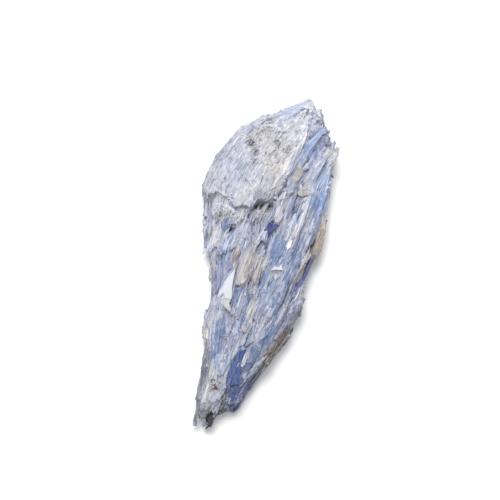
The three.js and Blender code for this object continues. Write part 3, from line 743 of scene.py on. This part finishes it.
def garnet_pattern():
    """A garnet crystal one unit in radius: an icosphere cut to twelve worn faces."""
    deselect()
    bpy.ops.mesh.primitive_ico_sphere_add(subdivisions=3, radius=1.08)
    crystal = bpy.context.object
    edit(crystal)
    for a in (-1, 1):
        for b in (-1, 1):
            for normal in ((a, b, 0), (a, 0, b), (0, a, b)):
                unit = Vector(normal).normalized()
                cut(unit * 0.93, unit)
    return pattern(crystal)


class Pile:
    """Many copies of a few patterns, gathered into one mesh with a colour and a grain map for each copy."""

    def __init__(self, name):
        self.name, self.points, self.faces, self.paints, self.maps = name, [], [], [], []
        self.count = 0

    def add(self, shape, matrix, size, paint, specks=0.3):
        points, faces = shape
        local = points * size
        spot = np.array(matrix)
        world = local @ spot[:3, :3].T + spot[:3, 3]
        self.points.append(np.clip(world, LOW, HIGH))
        self.faces += [[i + self.count for i in face] for face in faces]
        shift = rng.uniform(-50, 50, 2)
        self.maps.append(np.stack([local[:, 0] + local[:, 2], local[:, 1]], axis=1) + shift)
        self.paints.append(np.tile([*paint, specks], (len(points), 1)))
        self.count += len(points)

    def build(self):
        mesh = bpy.data.meshes.new(self.name)
        mesh.from_pydata(np.concatenate(self.points) * MM, [], self.faces)
        mesh.update()
        obj = bpy.data.objects.new(self.name, mesh)
        bpy.context.collection.objects.link(obj)
        colour(obj, np.concatenate(self.paints), np.concatenate(self.maps))
        return obj


def colour(obj, paints, maps):
    """Writes each point's colour, with the share of specks as alpha, and its place on the grain map."""
    mesh = obj.data
    tint = mesh.color_attributes.new("tint", "FLOAT_COLOR", "POINT")
    tint.data.foreach_set("color", paints.astype(np.float32).ravel())
    corners = np.zeros(len(mesh.loops), dtype=np.int32)
    mesh.loops.foreach_get("vertex_index", corners)
    layer = mesh.uv_layers.new(name="grain")
    layer.data.foreach_set("uv", (maps[corners] * 0.1).astype(np.float32).ravel())


# The body


def bladed_body():
    """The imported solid's own surface in even small faces, ready to be broken into crystals."""
    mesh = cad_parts["kyanite"].data.copy()
    body = bpy.data.objects.new("bladed_body", mesh)
    bpy.context.collection.objects.link(body)
    body.data.materials.clear()
    edit(body)
    bpy.ops.mesh.select_all(action="SELECT")
    bpy.ops.mesh.remove_doubles(threshold=1e-7)
    apply(body, "REMESH", mode="VOXEL", voxel_size=VOXEL * MM)
    apply(body, "SMOOTH", factor=0.6, iterations=6)
    return body


def mesh_arrays(obj):
    mesh = obj.data
    points = np.zeros(len(mesh.vertices) * 3)
    mesh.vertices.foreach_get("co", points)
    normals = np.zeros(len(mesh.vertices) * 3)
    mesh.vertices.foreach_get("normal", normals)
    return points.reshape(-1, 3) / MM, normals.reshape(-1, 3)


def eased(values, pairs, rounds):
    """Directions averaged with their neighbours', so that they change slowly over the surface."""
    count = len(values)
    for _ in range(rounds):
        total = values.copy()
        for k in range(values.shape[1]):
            total[:, k] += np.bincount(pairs[:, 0], values[pairs[:, 1], k], count)
            total[:, k] += np.bincount(pairs[:, 1], values[pairs[:, 0], k], count)
        values = total / np.linalg.norm(total, axis=1, keepdims=True)
    return values


def level_cap(points, normals, pairs):
    """Fills the gaps between the blades under the felted cap, up to its lip."""
    share = sum(oval(points[:, 0], points[:, 1], *area) for area in CAP)
    share = np.clip(share * 1.5, 0, 1) * smoothstep(0.1, 0.4, normals[:, 2])
    level, count = points[:, 2].copy(), len(points)
    ends = 1 + np.bincount(pairs.ravel(), minlength=count)
    for _ in range(CAP_ROUNDS):
        total = level + np.bincount(pairs[:, 0], level[pairs[:, 1]], count)
        level = (total + np.bincount(pairs[:, 1], level[pairs[:, 0]], count)) / ends
    points = points.copy()
    gap = level + CAP_FELT - points[:, 2]
    points[:, 2] += np.where(gap > 0, gap * 0.95, gap * 0.7) * share
    return points


def carve(body):
    """Moves the body's points in by the steps between its crystals, and colours each crystal, with painted
    shade in the clefts between crystals and in the hollows.
    """
    points, normals = mesh_arrays(body)
    pairs = np.array([e.vertices for e in body.data.edges])
    normals = eased(normals, pairs, NORMAL_ROUNDS)
    points = level_cap(points, normals, pairs)
    x, y, z = points.T
    stir = cloud(points, (2.2, 5.0, 2.2), 40)
    lines = np.stack([grain_line(x, y), y, z], axis=1)
    lines += stir[:, :3] * (0.35, 1.6, 0.35)
    upper = smoothstep(0.1, 0.5, normals[:, 2])
    felted = matrix_share(x, y) * upper
    felted *= smoothstep(-0.5, 0.3, cloud(points, (2.0, 5.0, 2.0), 41)[:, 0] + felted)
    depth = np.zeros(len(points))
    shade = np.zeros(len(points))
    paint = np.zeros((len(points), 3))
    plain = normals[:, 2] < UNDERSIDE
    turn = cloud(points, (1.0, 3.0, 1.0), 42)[:, 0]
    for size, height, slope, limit in BODY_CRYSTALS:
        middle, own, edge = crystals_through(lines, np.array(size), int(size[1]))
        local = (lines - middle) / size
        step = height * own[:, 0] ** 1.4 + slope * local[:, 0] * (own[:, 1] * 2 - 1)
        depth += step * (1 - felted * 0.8)
        place = x - local[:, 0] * size[0] * 0.7, y - local[:, 1] * size[1] * 0.5
        layer = stone_paint(*place, own[:, 2:])
        low = stone_paint(*place, own[:, 2:], True)
        layer = np.where(plain[:, None], low, layer)
        paint = np.where((turn > limit)[:, None], layer, paint)
        # Painted shade along the clefts between crystals, darker where the step is deeper
        shade = np.maximum(shade, (1 - smoothstep(0.02, 0.1, edge)) * (0.25 + 0.3 * own[:, 0]))
        worn = (1 - smoothstep(0.1, 0.3, edge)) * (own[:, 0] < 0.4) * 0.3
        paint += (PAINT["pale"] - paint) * worn[:, None]
    _, grit, _ = crystals_through(points, np.array(GRIT_SIZE), 3)
    depth += felted * (0.4 * grit[:, 0] ** 2 + 0.05)
    # Under the felt the painted cleft shade fades, and dark grains of grit are added to it
    shade = shade * (1 - felted * 0.7) + felted * (grit[:, 1] < 0.16) * 0.5
    moved = points - normals * depth[:, None]
    for *place, deep in HOLLOWS:
        ragged = x + stir[:, 0] * 0.4, y + stir[:, 1] * 0.5
        hole = oval(*ragged, *place) * upper
        moved[:, 2] -= deep * hole * (0.6 + 0.4 * grit[:, 2])
        # Painted shade inside each hollow
        shade = np.maximum(shade, 0.5 * hole)
    # The painted shade and the dark grit darken the colour towards a cold blue
    paint = paint * (1 - shade)[:, None] + shade[:, None] * paint * CLEFT_SHADE_TINT
    under = points[:, 2] < REST_BAND
    moved[under, 2] = points[under, 2]
    moved = np.clip(moved, LOW, HIGH)
    body.data.vertices.foreach_set("co", (moved * MM).ravel())
    body.data.update()
    specks = specks_at(x, y, upper)
    painted = np.concatenate([paint, specks[:, None]], axis=1)
    colour(body, painted, np.stack([lines[:, 0] + z, y], axis=1))
    return normals


# Laying things on the body


class Skin:
    """The body's surface, for laying things on it."""

    def __init__(self, body, normals):
        self.tree = BVHTree.FromObject(body, bpy.context.evaluated_depsgraph_get())
        self.corner = [p.vertices[0] for p in body.data.polygons]
        self.normals = normals

    def near(self, point):
        hit, _, face, _ = self.tree.find_nearest(Vector(point) * MM)
        return hit / MM, Vector(self.normals[self.corner[face]])

    def top(self, x, y):
        """The point of the upper side at x, y, and which way the side faces there."""
        hit, _, face, _ = self.tree.ray_cast(Vector((x, y, 60)) * MM, Vector((0, 0, -1)))
        if hit is None:
            return self.near((x, y, 8))
        return hit / MM, Vector(self.normals[self.corner[face]])

    def faces_along(self, point, out):
        """How squarely the surface faces along the grain, where crystals end instead of lying."""
        angle = grain_lean(point[0], point[1])
        return abs(out[0] * math.sin(angle) + out[1] * math.cos(angle))

    def lay(self, point, out, length, lean=0.0, roll=0.0, ease=0.7):
        """A place for a blade along the grain on the surface, and the length that lies straight there."""
        angle = grain_lean(point[0], point[1]) + math.radians(lean)
        grain = Vector((math.sin(angle), math.cos(angle), 0))
        grain = (grain - out * grain.dot(out)).normalized()
        point = Vector(point)
        for _ in range(4):
            foot, head = (self.near(point + grain * length * half)[0] for half in (-0.5, 0.5))
            axis = (head - foot).normalized()
            face = (out - axis * out.dot(axis)).normalized()
            rises = []
            for part in (0.2, 0.4, 0.6, 0.8):
                spot = foot.lerp(head, part)
                rises.append((self.near(spot)[0] - spot).dot(face))
            if max(rises + [0]) - min(rises + [0]) < ease or length < 2:
                break
            length *= 0.65
        if axis.dot(grain) < ALONG_GRAIN or face.dot(out) < FACING_OUT:
            return None, 0
        turn = Matrix((axis.cross(face), axis, face)).transposed()
        turn = turn @ Matrix.Rotation(math.radians(roll), 3, "Y")
        middle = foot.lerp(head, 0.5) + face * (sum(rises) / 5)
        return Matrix.Translation(middle) @ turn.to_4x4(), length


def raised(lift):
    return Matrix.Translation((0, 0, lift))


def in_hollow(x, y):
    return any(oval(x, y, *row[:5]) > 0.3 for row in HOLLOWS)


def on_face(x, y):
    """Whether x, y lies on one of the clean single faces, away from its chipped edge."""
    for shade, _, _, _, corners in FACETS:
        if shade not in CLEAN_FACES:
            continue
        inside, middle = False, np.mean(corners, axis=0)
        drawn_in = [middle + (np.array(c) - middle) * 0.84 for c in corners]
        for (ax, ay), (bx, by) in zip(drawn_in, drawn_in[1:] + drawn_in[:1]):
            if (ay > y) != (by > y) and x < (bx - ax) * (y - ay) / (by - ay) + ax:
                inside = not inside
        if inside:
            return True
    return False


def reach(kind, draw):
    """Length, lean and roll of a chip, a fibre or a blade, from its own draws."""
    if kind == "chip":
        return 0.8 + 3.6 * draw[5] ** 1.6, draw[6] * 24 - 12, draw[8] * 44 - 22
    if kind == "fibre":
        return 1.5 + 5 * draw[5], draw[8] * 20 - 10, draw[7] * 20 - 10
    return 2.5 + 10 * draw[5] ** 1.8, draw[8] * 8 - 4, draw[7] * 16 - 8


def section(kind, draw, length, felted):
    """Width and thickness of a chip, a fibre or a blade, and how far it lifts off the surface."""
    if kind == "chip":
        width = 0.2 + (0.4 if felted else 0.55) * draw[7] ** 2
        return width, width * 0.8, 0
    if kind == "fibre":
        return 0.2 + 0.45 * draw[6] ** 2, 0.3, 0.1 * draw[9] - 0.1
    thick = 0.4 + 0.4 * draw[9]
    return (0.6 + 1.7 * draw[6] ** 1.3) * (0.7 + length / 30), thick, 0.08 + 0.2 * draw[4] - thick / 2


def coat(body, skin, shapes, splinter):
    """Lays blades all over the body along the grain, fine fibres on the cap, and small chips over both."""
    points, _ = mesh_arrays(body)
    picked = rng.permutation(len(points))[:COAT_PLACES]
    spots, facing = points[picked], skin.normals[picked]
    share = matrix_share(spots[:, 0], spots[:, 1])
    draws = rng.random((len(picked), 10))
    paints = stone_paint(spots[:, 0], spots[:, 1], draws[:, :4])
    low_paints = stone_paint(spots[:, 0], spots[:, 1], draws[:, :4], True)
    specks = specks_at(spots[:, 0], spots[:, 1], facing[:, 2] > UPPER_SIDE)
    piles = {name: Pile(name) for name in ("upper_blades", "flank_blades", "cap_fibres", "chips")}
    for n, (spot, out, draw) in enumerate(zip(spots, facing, draws)):
        upper = out[2] > UPPER_SIDE
        if spot[2] < LOWEST_BLADE or upper and (in_hollow(*spot[:2]) or on_face(*spot[:2])):
            continue
        felted = upper and draw[4] < share[n]
        kind = "chip" if n % 3 == 0 else "fibre" if felted else "blade"
        if kind != "chip" and skin.faces_along(spot, out) > 0.5:
            continue
        matrix, length = skin.lay(spot, Vector(out), *reach(kind, draw))
        if matrix is None:
            continue
        width, thick, lift = section(kind, draw, length, felted)
        name = "upper_blades" if upper else "flank_blades"
        if kind == "chip":
            name = "chips"
        if felted:
            name = "cap_fibres"
        shape = splinter if kind == "chip" else shapes[n % len(shapes)]
        paint = paints[n] if out[2] > UNDERSIDE else low_paints[n]
        piles[name].add(shape, matrix @ raised(lift), (width, length, thick), paint, specks[n])
    return [pile.build() for pile in piles.values()]


def standing_crystals(skin, shapes):
    """The crystals that can be told apart one by one."""
    pile = Pile("standing_crystals")
    for n, (x, y, length, width, lean, roll, lift, shade) in enumerate(CRYSTALS):
        point, out = skin.top(x, y)
        own = lean - math.degrees(grain_lean(x, y))
        matrix, length = skin.lay(point, out, length, own, roll, ease=2.5)
        if matrix is None:
            print("no room for the crystal at", x, y)
            continue
        spot = matrix @ raised(lift * 0.6 - 0.55)
        pile.add(shapes[n % len(shapes)], spot, (width, length, CRYSTAL_THICK), PAINT[shade])
    return pile.build()


def face_plane(skin, corners, lift, slopes):
    """The middle of a single face, and its slopes and height there, fitted to the surface under it."""
    middle = np.mean(corners, axis=0)
    spots = [middle + (np.array(c) - middle) * share for c in corners for share in (0.3, 0.65, 0.95)]
    sheet = np.array([(x - middle[0], y - middle[1], 1) for x, y in spots])
    heights = np.array([skin.top(x, y)[0].z for x, y in spots])
    fit = np.linalg.lstsq(sheet, heights, rcond=None)[0]
    rise = np.percentile(heights - sheet @ fit, 85) + lift * 0.5
    return middle, np.clip(fit + (slopes[0] * 0.6, slopes[1] * 0.6, rise), (-1, -0.4, 0), (1, 0.4, 99))


def single_faces(skin):
    """The faces with an outline of their own: thin slabs on the surface, each with a worn, chipped edge."""
    piles = {True: Pile("bright_faces"), False: Pile("single_faces")}
    for shade, lift, slope_x, slope_y, corners in FACETS:
        deselect()
        bpy.ops.mesh.primitive_circle_add(vertices=len(corners), radius=1, fill_type="NGON")
        slab = bpy.context.object
        middle, plane = face_plane(skin, corners, lift, (slope_x, slope_y))
        for vertex, (x, y) in zip(slab.data.vertices, corners):
            vertex.co = (x, y, plane @ (x - middle[0], y - middle[1], 1))
        edit(slab)
        face_outwards()
        bpy.ops.mesh.extrude_region_move(TRANSFORM_OT_translate={"value": (0, 0, -SLAB_THICK)})
        face_outwards()
        bpy.ops.mesh.subdivide(number_cuts=2, fractal=0.35, fractal_along_normal=0.2, seed=7)
        pick_faces(slab, lambda normal: normal.z > 0.5)
        bpy.ops.mesh.inset(thickness=0.14, use_boundary=True)
        bpy.ops.transform.translate(value=(0, 0, 0.1))
        bright = shade in ("white", "pearl")
        paint = PAINT[shade] * (1 if bright else 0.84)
        piles[bright].add(pattern(slab, False), Matrix(), (1, 1, 1), paint)
    return [pile.build() for pile in piles.values()]


def scattered(cx, cy, rx, ry):
    far, way = math.sqrt(rng.random()), rng.uniform(0, 2 * math.pi)
    return cx + rx * far * math.cos(way), cy + ry * far * math.sin(way)


def loosely(point, size, tilt):
    """A place on the surface at any turn about the vertical and a small tilt."""
    turn = Euler((rng.uniform(-tilt, tilt), rng.uniform(-tilt, tilt), rng.uniform(-3, 3)))
    return Matrix.Translation((point.x, point.y, point.z + size)) @ turn.to_matrix().to_4x4()


def matrix_crumbs(skin, shapes):
    """Grains of matrix on the cap, under its lip and by the garnets."""
    pile = Pile("matrix_crumbs")
    for *area, count in CRUMBS:
        for _ in range(count):
            x, y = scattered(*area)
            point, _ = skin.top(x, y)
            size = rng.uniform(0.25, 0.75)
            chance = rng.random((1, 4))
            paint = stone_paint(np.array([x]), np.array([y]), chance)[0]
            if chance[0, 3] < 0.16:
                paint = paint * 0.35
            shape = shapes[int(rng.integers(len(shapes)))]
            pile.add(shape, loosely(point, -size * 0.1, 0.5), (size, size * 1.2, size * 0.8), paint, 0.6)
    return pile.build()


def mica_glints(skin, shape):
    """Small flakes of mica that catch the light."""
    pile = Pile("mica_glints")
    for cx, cy, spread, count in GLINTS:
        for _ in range(count):
            point, _ = skin.top(*scattered(cx, cy, spread, spread * 1.3))
            if point.z < 5:
                continue
            size = rng.uniform(0.15, 0.4)
            pile.add(shape, loosely(point, 0.02, 0.4), (size, size, 0.3), PAINT["white"])
    return pile.build()


def garnets(skin, shape):
    """The garnets, sunk a little into the stone."""
    pile = Pile("garnets")
    for x, y, radius in GARNETS:
        point, _ = skin.top(x, y)
        turn = Euler((0.4, x, y)).to_matrix().to_4x4()
        spot = Matrix.Translation((x, y, point.z - radius * 0.1)) @ turn
        pile.add(shape, spot, (radius, radius, radius * 0.85), PAINT["rust"])
    return pile.build()


# Finishes

FLOAT, VECTOR = "NodeSocketFloat", "NodeSocketVector"


def plug(tree, made, values):
    """Links a node's inputs from sockets, or sets them to values."""
    for name, value in values.items():
        if isinstance(value, bpy.types.NodeSocket):
            tree.links.new(value, made.inputs[name])
        else:
            made.inputs[name].default_value = value


def node(tree, kind, values=None, **settings):
    """A node with its settings, its inputs linked from sockets or set to values."""
    made = tree.nodes.new(kind)
    for name, value in settings.items():
        setattr(made, name, value)
    plug(tree, made, values or {})
    return made


def group(name, inputs, outputs):
    """A new shader group with named sockets, what comes into it, and the node that takes what goes out."""
    tree = bpy.data.node_groups.new(name, "ShaderNodeTree")
    for label, kind, value in inputs:
        socket = tree.interface.new_socket(name=label, in_out="INPUT", socket_type=kind)
        if value is not None:
            socket.default_value = value
    for label in outputs:
        tree.interface.new_socket(name=label, in_out="OUTPUT", socket_type=FLOAT)
    return tree, tree.nodes.new("NodeGroupInput").outputs, tree.nodes.new("NodeGroupOutput")


def use(tree, shared, **values):
    """A shared group in a material."""
    return node(tree, "ShaderNodeGroup", values, node_tree=shared).outputs


def place_on(tree):
    return node(tree, "ShaderNodeTexCoord").outputs["Object"]


def grain_map(tree):
    return node(tree, "ShaderNodeUVMap", uv_map="grain").outputs["UV"]


def stretched(tree, grain, across, along):
    """The grain map drawn out, so that a noise on it runs in lines."""
    size = node(tree, "ShaderNodeCombineXYZ", {"X": across, "Y": along, "Z": 1.0}).outputs[0]
    return node(tree, "ShaderNodeVectorMath", {0: grain, 1: size}, operation="MULTIPLY").outputs[0]


def noise(tree, place, scale, detail, **more):
    values = {"Vector": place, "Scale": scale, "Detail": detail, **more}
    return node(tree, "ShaderNodeTexNoise", values).outputs["Fac"]


def maths(tree, operation, *values):
    return node(tree, "ShaderNodeMath", dict(enumerate(values)), operation=operation).outputs[0]


def remap(tree, value, source, target=(0.0, 1.0)):
    """A value taken from one range to another."""
    ends = dict(zip(("From Min", "From Max", "To Min", "To Max"), (*source, *target)))
    return node(tree, "ShaderNodeMapRange", {"Value": value, **ends}).outputs[0]


def ramp(tree, fac, *stops):
    """A grey that follows the stops: place, grey."""
    made = node(tree, "ShaderNodeValToRGB", {"Fac": fac})
    elements = made.color_ramp.elements
    while len(elements) < len(stops):
        elements.new(0.5)
    for element, (place, grey) in zip(elements, stops):
        element.position = place
        element.color = (grey, grey, grey, 1)
    return made.outputs["Color"]


def mix(tree, fac, a, b, blend="MIX"):
    return node(tree, "ShaderNodeMix", {0: fac, 6: a, 7: b}, data_type="RGBA", blend_type=blend).outputs[2]


def times(tree, paint, red, green, blue):
    return mix(tree, 1.0, paint, (red, green, blue, 1), "MULTIPLY")


def bumps(tree, height, strength, distance):
    values = {"Height": height, "Strength": strength, "Distance": distance}
    return node(tree, "ShaderNodeBump", values).outputs["Normal"]


def fibre_group():
    """Fine lines along the grain: a broad streak, a fine streak, thin dark lines of painted shade where the
    fibres part, and a height.
    """
    tree, given, result = group(
        "fibre_lines",
        [("Grain", VECTOR, None), ("Lines", FLOAT, 60.0), ("Length", FLOAT, 3.0)],
        ["Broad", "Fine", "Seam", "Height"],
    )
    place = stretched(tree, given["Grain"], given["Lines"], given["Length"])
    fine = noise(tree, place, 1.0, 4.0, Roughness=0.6)
    broad = noise(tree, place, 0.28, 2.0, Distortion=0.3)
    # Noise whose thin bands become the lines of painted shade between the fibres
    split = noise(tree, place, 0.42, 1.5, Roughness=0.4)
    plug(tree, result, {
        "Broad": ramp(tree, broad, (0.35, 0.0), (0.65, 1.0)),
        "Fine": ramp(tree, fine, (0.36, 0.0), (0.5, 0.6), (0.64, 1.0)),
        "Seam": ramp(tree, split, (0.42, 0.0), (0.46, 1.0), (0.5, 0.0)),
        "Height": fine,
    })
    return tree


def speck_group():
    """Scattered small dark specks."""
    tree, given, result = group(
        "dark_specks", [("Size", FLOAT, 900.0), ("Amount", FLOAT, 0.3)], ["Mask", "Crumb"]
    )
    place = place_on(tree)
    spread = noise(tree, place, given["Size"], 3.0, Roughness=0.65)
    patches = noise(tree, place, 160.0, 2.0)
    most = maths(tree, "MULTIPLY_ADD", given["Amount"], 0.2, 0.05)
    limit = maths(tree, "SUBTRACT", 0.5, most)
    full = maths(tree, "ADD", limit, 0.09)
    mask = remap(tree, maths(tree, "MULTIPLY", spread, patches), (limit, full))
    plug(tree, result, {"Mask": mask, "Crumb": spread})
    return tree


def film_group():
    """A thin brown iron film in patches."""
    tree, given, result = group("iron_film", [("Spread", FLOAT, 90.0)], ["Mask"])
    patches = noise(tree, place_on(tree), given["Spread"], 5.0, Roughness=0.6)
    plug(tree, result, {"Mask": ramp(tree, patches, (0.56, 0.0), (0.72, 0.5))})
    return tree


def veil_group():
    """A chalky veil in ragged streaks and blotches over the crystals' colour."""
    tree, given, result = group(
        "chalky_veil", [("Grain", VECTOR, None), ("Streaks", FLOAT, 9.0), ("Cover", FLOAT, 0.5)], ["Mask"]
    )
    place = stretched(tree, given["Grain"], given["Streaks"], 1.6)
    streak = noise(tree, place, 1.0, 5.0, Roughness=0.62)
    blotch = noise(tree, place, 4.2, 4.0, Roughness=0.65)
    both = maths(tree, "ADD", streak, blotch)
    plug(tree, result, {"Mask": remap(tree, maths(tree, "ADD", both, given["Cover"]), (1.38, 1.66))})
    return tree


def finish(name):
    material = bpy.data.materials.new(name)
    material.use_nodes = True
    return material, material.node_tree, material.node_tree.nodes["Principled BSDF"]


def stone(name, lines, gloss, relief, cover):
    """Stone in its crystals' colours, lined along the grain with thin lines of painted shade between the
    fibres, under a chalky veil, specks and iron film.
    """
    material, tree, shader = finish(name)
    own = node(tree, "ShaderNodeAttribute", attribute_name="tint").outputs
    tint, grain = own["Color"], grain_map(tree)
    fibres = use(tree, FIBRES, Grain=grain, Lines=lines, Length=lines * 0.05)
    veil = use(tree, VEIL, Grain=grain, Cover=cover)["Mask"]
    spots = use(tree, SPECKS, Size=1500.0, Amount=own["Alpha"])
    film = maths(tree, "MULTIPLY", use(tree, FILM, Spread=110.0)["Mask"], 0.5)
    # Painted shade in thin lines where the fibres part, darkening towards a cold blue
    seam_shade = mix(tree, fibres["Seam"], tint, times(tree, tint, 0.3, 0.34, 0.46))
    lined = mix(tree, fibres["Fine"], times(tree, tint, 0.56, 0.6, 0.7), seam_shade)
    light = node(tree, "ShaderNodeRGBToBW", {"Color": tint}).outputs[0]
    thin = maths(tree, "MULTIPLY", veil, remap(tree, light, (0.03, 0.3), (0.0, 0.55)))
    chalky = mix(tree, thin, lined, (0.66, 0.67, 0.7, 1))
    stained = mix(tree, film, chalky, times(tree, chalky, 0.8, 0.68, 0.52))
    height = maths(tree, "ADD", fibres["Height"], spots["Crumb"])
    plug(tree, shader, {
        "Base Color": mix(tree, spots["Mask"], stained, times(tree, stained, 0.32, 0.33, 0.33)),
        "Roughness": remap(tree, veil, (0.0, 1.0), (gloss, gloss + 0.3)),
        "Normal": bumps(tree, height, relief, 0.00012),
        "Specular IOR Level": 0.3,
    })
    return material


def cleavage():
    """Clean cleavage faces: white, smooth, with faint steps along the grain."""
    material, tree, shader = finish("bright_cleavage")
    tint, grain = node(tree, "ShaderNodeAttribute", attribute_name="tint").outputs["Color"], grain_map(tree)
    fibres = use(tree, FIBRES, Grain=grain, Lines=16.0, Length=1.0)
    veil = use(tree, VEIL, Grain=grain, Cover=0.34)["Mask"]
    clean = mix(tree, veil, tint, (0.5, 0.5, 0.49, 1))
    stepped = mix(tree, 0.45, clean, (0.5, 0.55, 0.62, 1))
    plug(tree, shader, {
        "Base Color": mix(tree, fibres["Fine"], stepped, clean),
        "Roughness": remap(tree, fibres["Broad"], (0.0, 1.0), (0.22, 0.4)),
        "Normal": bumps(tree, fibres["Height"], 0.25, 0.0001),
    })
    return material


def clouded(name, scale, detail, low, high):
    """A finish whose colour changes between two in a fine cloud; gives the cloud too."""
    material, tree, shader = finish(name)
    blur = noise(tree, place_on(tree), scale, detail)
    plug(tree, shader, {"Base Color": mix(tree, blur, (*low, 1), (*high, 1))})
    return material, tree, shader, blur


def gem():
    material, tree, shader, blur = clouded("garnet", 900.0, 3.0, (0.025, 0.008, 0.006), (0.17, 0.05, 0.03))
    plug(tree, shader, {"Roughness": 0.25, "Coat Weight": 0.4, "Normal": bumps(tree, blur, 0.4, 0.0001)})
    return material


def mica():
    material, tree, shader, blur = clouded("mica", 700.0, 2.0, (0.75, 0.72, 0.68), (0.95, 0.95, 0.97))
    plug(tree, shader, {"Roughness": remap(tree, blur, (0.0, 1.0), (0.08, 0.22)), "Coat Weight": 0.6})
    return material


def table_top():
    material, tree, shader, _ = clouded("pale_table", 40.0, 3.0, (0.9, 0.9, 0.9), (0.93, 0.93, 0.93))
    plug(tree, shader, {"Roughness": 0.9})
    return material


FIBRES, SPECKS, FILM, VEIL = fibre_group(), speck_group(), film_group(), veil_group()
blade_finish = stone("kyanite_blades", lines=34.0, gloss=0.36, relief=0.45, cover=0.42)
matrix_finish = stone("felted_matrix", lines=60.0, gloss=0.62, relief=0.7, cover=0.55)

# The whole piece

blade_shapes = [blade_pattern(*form) for form in BLADE_FORMS]
crumb_shapes = [grain_pattern(*form) for form in CRUMB_FORMS]

body = bladed_body()
skin = Skin(body, carve(body))
upper, flank, cap, chips = coat(body, skin, blade_shapes, crumb_shapes[0])
bright, single = single_faces(skin)
stone_pieces = {
    body: blade_finish,
    upper: blade_finish,
    flank: blade_finish,
    chips: blade_finish,
    cap: matrix_finish,
    standing_crystals(skin, blade_shapes): blade_finish,
    single: blade_finish,
    bright: cleavage(),
    matrix_crumbs(skin, crumb_shapes): matrix_finish,
    mica_glints(skin, flake_pattern()): mica(),
    garnets(skin, garnet_pattern()): gem(),
}
for piece, material in stone_pieces.items():
    piece.data.materials.append(material)
    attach(piece, "root")
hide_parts("kyanite")
activate(body)
bpy.ops.object.shade_smooth_by_angle(angle=math.radians(SMOOTH_BELOW))

# Table, light and camera, in metres and watts

TABLE_SIZE = 3
SKY = 0.62
WINDOW_PLACE = (-0.27, 0.5, 0.9)
WINDOW_SIZE, WINDOW_POWER = 0.6, 12.3
SENSOR = 36
DISTANCE = 0.75
FRAME_WIDTH = 0.1715
AIM = Vector((-0.74, 4.0, 8.0)) * MM
CAMERA_ROLL = 18

deselect()
bpy.ops.mesh.primitive_plane_add(size=TABLE_SIZE)
table = bpy.context.object
table.name = "table"
table.data.materials.append(table_top())

world = bpy.data.worlds.new("soft_room")
bpy.context.scene.world = world
world.use_nodes = True
room = world.node_tree.nodes["Background"]
room.inputs["Color"].default_value = (1, 1, 1, 1)
room.inputs["Strength"].default_value = SKY

window = bpy.data.lights.new("window_light", "AREA")
window.shape, window.size, window.energy = "DISK", WINDOW_SIZE, WINDOW_POWER
lamp = bpy.data.objects.new("window_light", window)
bpy.context.collection.objects.link(lamp)
lamp.location = WINDOW_PLACE
lamp.rotation_euler = (-Vector(WINDOW_PLACE)).to_track_quat("-Z", "Y").to_euler()

camera_data = bpy.data.cameras.new("camera")
camera_data.sensor_width = SENSOR
camera_data.lens = SENSOR * DISTANCE / FRAME_WIDTH
camera_data.clip_start, camera_data.clip_end = 0.01, 20
camera = bpy.data.objects.new("camera", camera_data)
bpy.context.collection.objects.link(camera)
camera.location = AIM + Vector((0, 0, DISTANCE))
camera.rotation_euler = (0, 0, math.radians(CAMERA_ROLL))
bpy.context.scene.camera = camera
bpy.context.scene.view_settings.view_transform = "Standard"
